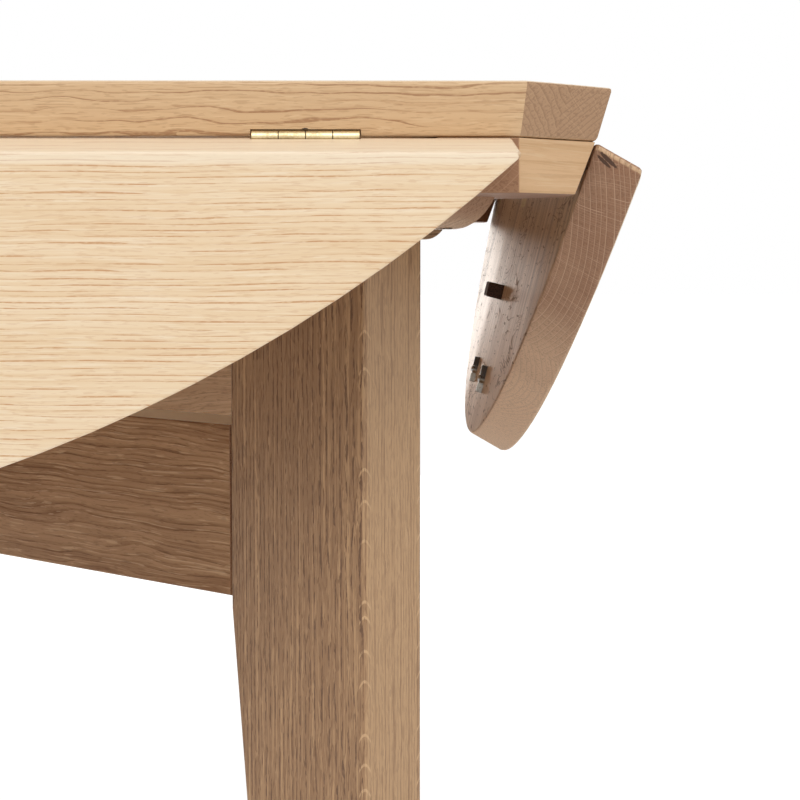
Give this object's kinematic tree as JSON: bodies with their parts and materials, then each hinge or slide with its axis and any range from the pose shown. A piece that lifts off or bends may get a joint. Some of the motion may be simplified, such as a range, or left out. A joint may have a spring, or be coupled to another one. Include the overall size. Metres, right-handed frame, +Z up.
{
  "type": "drop-leaf dining table",
  "caption": "Square solid-oak dining table with hinged drop leaves that raise to make a round top, on crossed diagonal frames with tapered legs.",
  "frame": {"origin": "on the floor, under the middle of the top", "axes": "+X to the table's right, -Y to its front, +Z up"},
  "size_m": [1.1386, 1.1448, 0.74],
  "materials": {
    "oak_top": "oiled oak, satin",
    "oak_leaf": "oiled pale oak, satin",
    "oak_head": "oiled oak, satin",
    "oak_base": "oiled oak, satin",
    "dark_hardwood": "dark hardwood, matt",
    "brass": "satin",
    "brass_screw": "satin",
    "spring_steel": "bright nickel",
    "steel_screw": "zinc plated",
    "zinc_steel": "zinc plated",
    "glide": "felt-faced, dark brown"
  },
  "bodies": {
    "base_and_top": {"top_panel": "oak_top", "right_top_plates": "brass", "back_top_plates": "brass", "left_top_plates": "brass", "front_top_plates": "brass", "back_right_head": "oak_head", "back_right_leg": "oak_base", "back_left_head": "oak_head", "back_left_leg": "oak_base", "front_left_head": "oak_head", "front_left_leg": "oak_base", "front_right_head": "oak_head", "front_right_leg": "oak_base", "hinge_pins": "brass", "top_plate_screws": "brass_screw", "head_screws": "steel_screw", "upper_arm": "oak_base", "lower_arm": "oak_base", "upper_rail": "oak_base", "lower_rail": "oak_base", "foot_glides": "glide", "pivot_bolt": "zinc_steel", "pivot_washer": "zinc_steel", "pivot_sleeve": "brass"},
    "right_leaf_group": {"right_leaf": "oak_leaf", "right_leaf_plates": "brass", "right_leaf_screws": "brass_screw", "right_stop_block": "dark_hardwood", "right_spring_clips": "spring_steel", "right_clip_screws": "steel_screw"},
    "back_leaf_group": {"back_leaf": "oak_leaf", "back_leaf_plates": "brass", "back_leaf_screws": "brass_screw", "back_stop_block": "dark_hardwood", "back_spring_clips": "spring_steel", "back_clip_screws": "steel_screw"},
    "left_leaf_group": {"left_leaf": "oak_leaf", "left_leaf_plates": "brass", "left_leaf_screws": "brass_screw", "left_stop_block": "dark_hardwood", "left_spring_clips": "spring_steel", "left_clip_screws": "steel_screw"},
    "front_leaf_group": {"front_leaf": "oak_leaf", "front_leaf_plates": "brass", "front_leaf_screws": "brass_screw", "front_stop_block": "dark_hardwood", "front_spring_clips": "spring_steel", "front_clip_screws": "steel_screw"}
  },
  "joints": [
    {"name": "right_leaf_hinge", "type": "hinge", "parent": "base_and_top", "child": "right_leaf_group", "pos_m": [0.54556, 0, 0.713], "axis": [0, -1, 0], "range_deg": [-5, 104]},
    {"name": "back_leaf_hinge", "type": "hinge", "parent": "base_and_top", "child": "back_leaf_group", "pos_m": [0, 0.54556, 0.713], "axis": [1, 0, 0], "range_deg": [-18, 91]},
    {"name": "left_leaf_hinge", "type": "hinge", "parent": "base_and_top", "child": "left_leaf_group", "pos_m": [-0.54556, 0, 0.713], "axis": [0, 1, 0], "range_deg": [-5, 104]},
    {"name": "front_leaf_hinge", "type": "hinge", "parent": "base_and_top", "child": "front_leaf_group", "pos_m": [0, -0.54556, 0.713], "axis": [-1, 0, 0], "range_deg": [-18, 91]}
  ]
}
